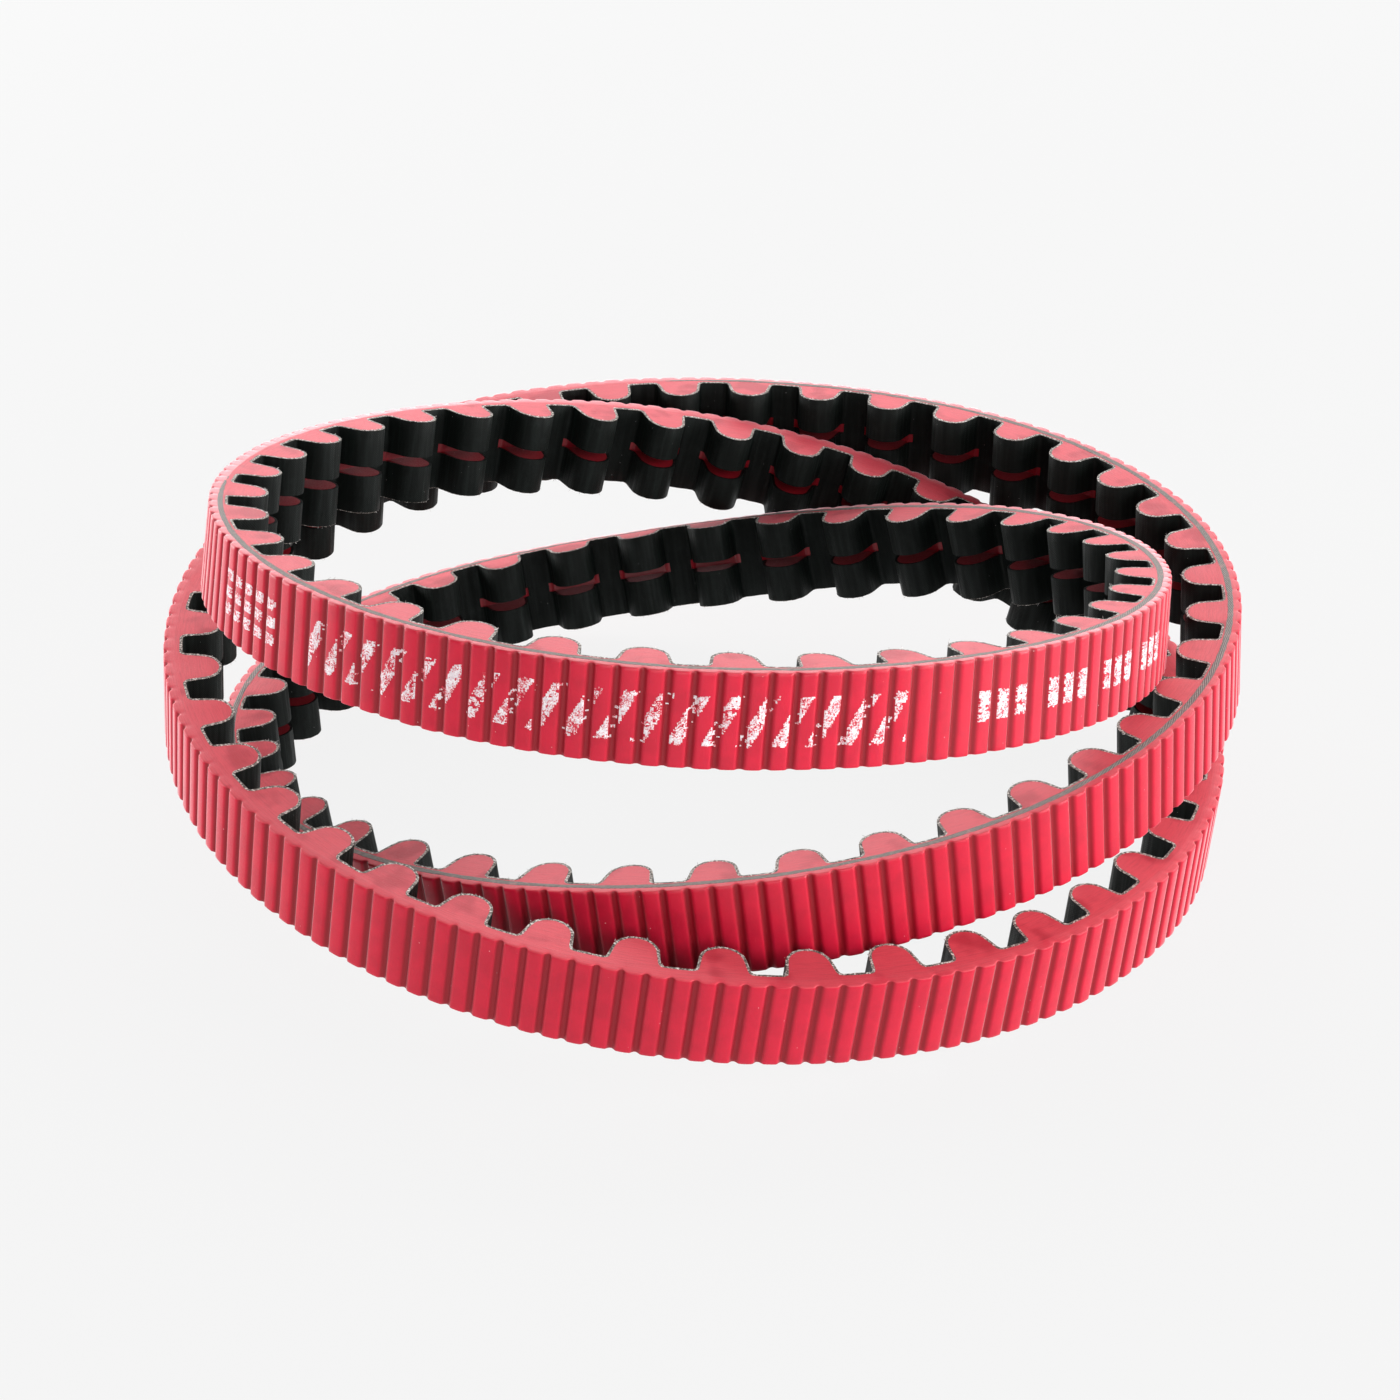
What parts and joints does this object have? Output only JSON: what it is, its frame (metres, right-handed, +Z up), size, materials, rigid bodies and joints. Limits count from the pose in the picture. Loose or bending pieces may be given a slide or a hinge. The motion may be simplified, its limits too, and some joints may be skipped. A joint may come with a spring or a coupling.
{
  "type": "timing belt",
  "caption": "Endless toothed timing belt with a ribbed polyurethane back and fabric-faced teeth, lying in a loose flat coil.",
  "frame": {"origin": "middle of the coil's outline, on the surface that the coil stands on", "axes": "+Z up along the coil's axis; -Y towards the side where the top turn crosses in front"},
  "size_m": [0.1458, 0.1456, 0.0582],
  "materials": {
    "red_polyurethane": "satin cast polyurethane",
    "tooth_polyurethane": "matte cut polyurethane",
    "carbon_cord": "twisted carbon fibre",
    "nylon_facing": "tight woven nylon with a slight sheen",
    "white_ink": "worn flat ink"
  },
  "bodies": {
    "root": {"ribbed_back": "red_polyurethane", "cord_pair_1": "carbon_cord", "cord_pair_2": "carbon_cord", "cord_pair_3": "carbon_cord", "cord_pair_4": "carbon_cord", "cord_pair_5": "carbon_cord", "teeth_body": "tooth_polyurethane", "fabric_facing": "nylon_facing", "print_mark": "white_ink"}
  },
  "joints": []
}
